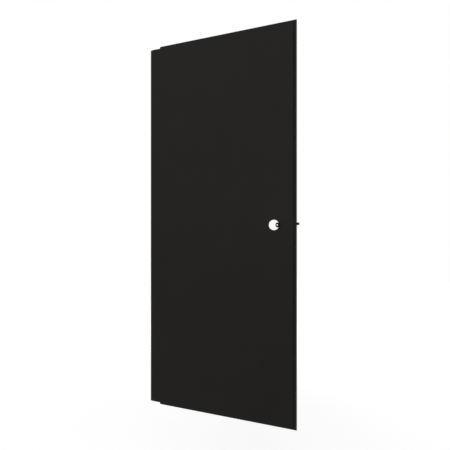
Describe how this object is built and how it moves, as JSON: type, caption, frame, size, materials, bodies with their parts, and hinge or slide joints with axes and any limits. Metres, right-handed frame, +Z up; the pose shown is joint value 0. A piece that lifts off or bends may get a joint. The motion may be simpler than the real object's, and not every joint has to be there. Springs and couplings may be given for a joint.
{
  "type": "toilet partition door",
  "caption": "Black powder-coated steel toilet partition door leaf with rounded crown edges, notched pivot hinge corners and a turn-disc latch that draws an edge bolt.",
  "frame": {"origin": "on the pivot axis, at the seat face of the bottom hinge notch", "axes": "+X along the width to the latch edge, -Y out of the side with the turn disc, +Z up"},
  "size_m": [0.6182, 0.0374, 1.4732],
  "materials": {
    "black_powder_coat": "satin powder coat",
    "black_forend": "satin black over die-cast zinc",
    "black_bolt": "black coated steel",
    "chrome": "bright plated",
    "black_plastic": "moulded, slightly glossy",
    "nylon": "natural moulded nylon",
    "zinc_steel": "zinc plated",
    "kraft_honeycomb": "kraft paper"
  },
  "bodies": {
    "leaf": {"front_face_sheet": "black_powder_coat", "back_face_sheet": "black_powder_coat", "honeycomb_core": "kraft_honeycomb", "bottom_edge_bar": "black_powder_coat", "top_edge_bar": "black_powder_coat", "latch_edge_bar_lower": "black_powder_coat", "latch_edge_bar_upper": "black_powder_coat", "hinge_edge_bar": "black_powder_coat", "bottom_hinge_plate": "black_powder_coat", "top_hinge_plate": "black_powder_coat", "bottom_hinge_block": "zinc_steel", "top_hinge_block": "zinc_steel", "bottom_hinge_bushing": "nylon", "top_hinge_bushing": "nylon", "latch_forend": "black_forend", "latch_case": "zinc_steel", "latch_cover": "zinc_steel", "front_bearing": "nylon", "back_bearing": "nylon", "release_rose": "chrome"},
    "turn": {"latch_turn_disc": "chrome", "finger_button": "black_plastic", "button_rivet": "chrome", "latch_spindle": "zinc_steel", "release_turn": "chrome"},
    "bolt": {"latch_bolt": "black_bolt"}
  },
  "joints": [
    {"name": "latch_turn", "type": "hinge", "parent": "leaf", "child": "turn", "pos_m": [0.5072, 0, 0.7247], "axis": [0, -1, 0], "range_deg": [0, 90]},
    {"name": "bolt_slide", "type": "slide", "parent": "leaf", "child": "bolt", "axis": [-1, 0, 0], "range_m": [0, 0.0099]}
  ],
  "couplings": [
    {"joint": "bolt_slide", "follows": "latch_turn", "m_per_rad": 0.0063}
  ]
}
